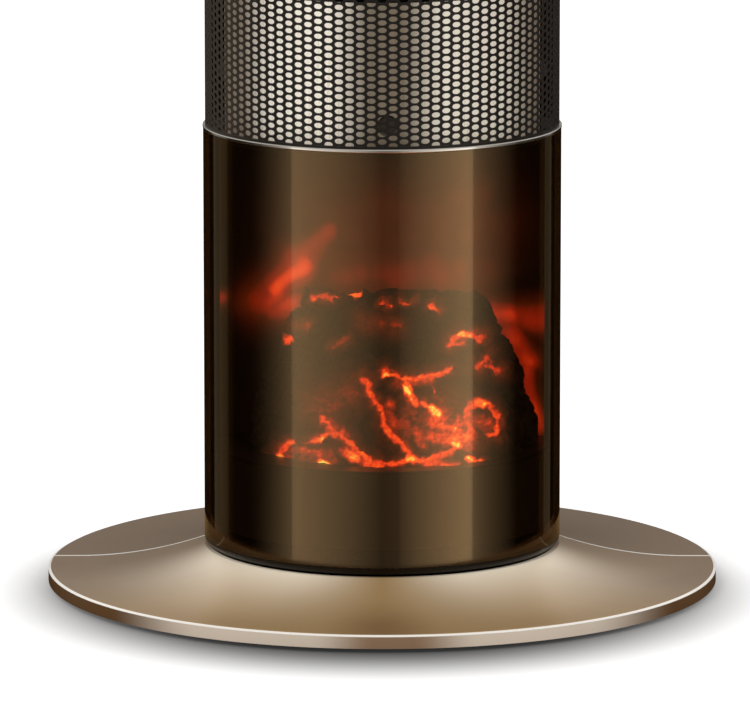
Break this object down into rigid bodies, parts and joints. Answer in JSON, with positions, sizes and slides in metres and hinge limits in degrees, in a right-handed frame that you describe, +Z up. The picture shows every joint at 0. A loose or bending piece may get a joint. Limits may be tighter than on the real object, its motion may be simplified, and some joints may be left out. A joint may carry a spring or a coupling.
{
  "type": "ceramic tower heater",
  "caption": "Tall round ceramic fan heater on a turning two-piece foot, with an ember window, fine outlet grille, trim rings and a keyed top.",
  "frame": {"origin": "middle of the foot at floor level", "axes": "+Z up along the column, -Y to the front where the ember window and grille are, +X to the viewer's right when facing the front"},
  "size_m": [0.301, 0.301, 0.7425],
  "materials": {
    "bronze_skin": "satin bronze metallic paint",
    "rubber": "matt black rubber",
    "black_plastic": "fine matt black",
    "steel": "zinc plated",
    "motor_steel": "pressed steel can",
    "galvanised": "galvanised sheet",
    "nylon": "natural nylon",
    "dark_gloss": "high gloss dark brown",
    "smoked_window": "smoked gloss, see-through",
    "bronze_mask": "matt dark bronze",
    "dark_shell": "satin dark brown",
    "rocker_gloss": "gloss black",
    "circuit_board": "green lacquer",
    "ember": "charcoal with translucent orange cracks",
    "flame_screen": "frosted, lit orange from behind",
    "aluminium": "bright thin sheet",
    "bright_trim": "polished trim",
    "champagne_plate": "champagne satin metal",
    "dark_screw": "blackened",
    "brass": "sintered bush",
    "heat_resin": "heat resistant moulding",
    "ceramic": "bare ceramic",
    "mesh_metal": "dark brown coated sheet",
    "display_lens": "smoked gloss",
    "ir_window": "dark red gloss",
    "key_plastic": "satin black"
  },
  "bodies": {
    "foot": {"base_front": "bronze_skin", "base_rear": "bronze_skin", "rubber_pads": "rubber", "base_hub": "black_plastic", "base_screws": "steel", "sector_gear": "nylon", "thrust_washer": "nylon", "tip_switch": "black_plastic"},
    "column": {"turntable": "black_plastic", "pivot_clip": "steel", "swing_motor": "motor_steel", "bottom_ring": "dark_gloss", "flame_window": "smoked_window", "window_mask": "bronze_mask", "lower_rear_cover": "dark_shell", "cord_bush": "rubber", "switch_bezel": "black_plastic", "power_board": "circuit_board", "ember_tray": "black_plastic", "ember_bed": "ember", "lamp_board": "circuit_board", "flame_screen": "flame_screen", "spindle_brackets": "steel", "spindle_motor": "motor_steel", "trim_ring": "bright_trim", "middle_deck": "black_plastic", "backing_plate": "champagne_plate", "plate_screw": "dark_screw", "fan_motor": "motor_steel", "scroll_casing": "galvanised", "casing_tongue": "galvanised", "casing_posts": "galvanised", "rotor_bearing": "brass", "heater_frame": "heat_resin", "ceramic_elements": "ceramic", "heater_fins": "aluminium", "thermal_cutouts": "motor_steel", "head_deck": "black_plastic", "front_grille": "mesh_metal", "rear_housing": "dark_shell", "case_screws": "dark_screw", "upper_trim_ring": "bright_trim", "head_shell": "dark_gloss", "display_lens": "display_lens", "display_board": "circuit_board", "ir_window": "ir_window", "grip_recess": "black_plastic", "top_cap": "bronze_skin", "key_board": "circuit_board"},
    "pinion": {"swing_pinion": "nylon"},
    "rotor": {"fan_rotor": "black_plastic"},
    "spindle": {"flame_spindle": "aluminium"},
    "rocker": {"power_rocker": "rocker_gloss"},
    "plunger": {"tip_plunger": "nylon"},
    "key_power": {"power_key": "key_plastic"},
    "key_heat": {"heat_key": "key_plastic"},
    "key_swing": {"swing_key": "key_plastic"},
    "key_timer": {"timer_key": "key_plastic"},
    "key_flame": {"flame_key": "key_plastic"}
  },
  "joints": [
    {"name": "column_swing", "type": "hinge", "parent": "foot", "child": "column", "pos_m": [0, 0, 0.0185], "axis": [0, 0, 1], "range_deg": [-40, 40]},
    {"name": "pinion_spin", "type": "hinge", "parent": "column", "child": "pinion", "pos_m": [0, 0.032, 0.013], "axis": [0, 0, 1], "range_deg": [-120.5, 120.5]},
    {"name": "rotor_spin", "type": "hinge", "parent": "column", "child": "rotor", "pos_m": [0, 0.022, 0.4], "axis": [0, 0, 1], "continuous": true},
    {"name": "spindle_spin", "type": "hinge", "parent": "column", "child": "spindle", "pos_m": [0, 0.031, 0.112], "axis": [1, 0, 0], "continuous": true},
    {"name": "rocker_tip", "type": "hinge", "parent": "column", "child": "rocker", "pos_m": [0, 0.076, 0.06201], "axis": [1, 0, 0], "range_deg": [0, 16]},
    {"name": "plunger_drop", "type": "slide", "parent": "foot", "child": "plunger", "axis": [0, 0, -1], "range_m": [0, 0.003], "stiffness_N_per_m": 40, "springref_m": 0.004},
    {"name": "power_press", "type": "slide", "parent": "column", "child": "key_power", "axis": [0, 0, -1], "range_m": [0, 0.0008], "stiffness_N_per_m": 600},
    {"name": "heat_press", "type": "slide", "parent": "column", "child": "key_heat", "axis": [0, 0, -1], "range_m": [0, 0.0008], "stiffness_N_per_m": 600},
    {"name": "swing_press", "type": "slide", "parent": "column", "child": "key_swing", "axis": [0, 0, -1], "range_m": [0, 0.0008], "stiffness_N_per_m": 600},
    {"name": "timer_press", "type": "slide", "parent": "column", "child": "key_timer", "axis": [0, 0, -1], "range_m": [0, 0.0008], "stiffness_N_per_m": 600},
    {"name": "flame_press", "type": "slide", "parent": "column", "child": "key_flame", "axis": [0, 0, -1], "range_m": [0, 0.0008], "stiffness_N_per_m": 600}
  ],
  "couplings": [
    {"joint": "pinion_spin", "follows": "column_swing", "ratio": 3}
  ]
}
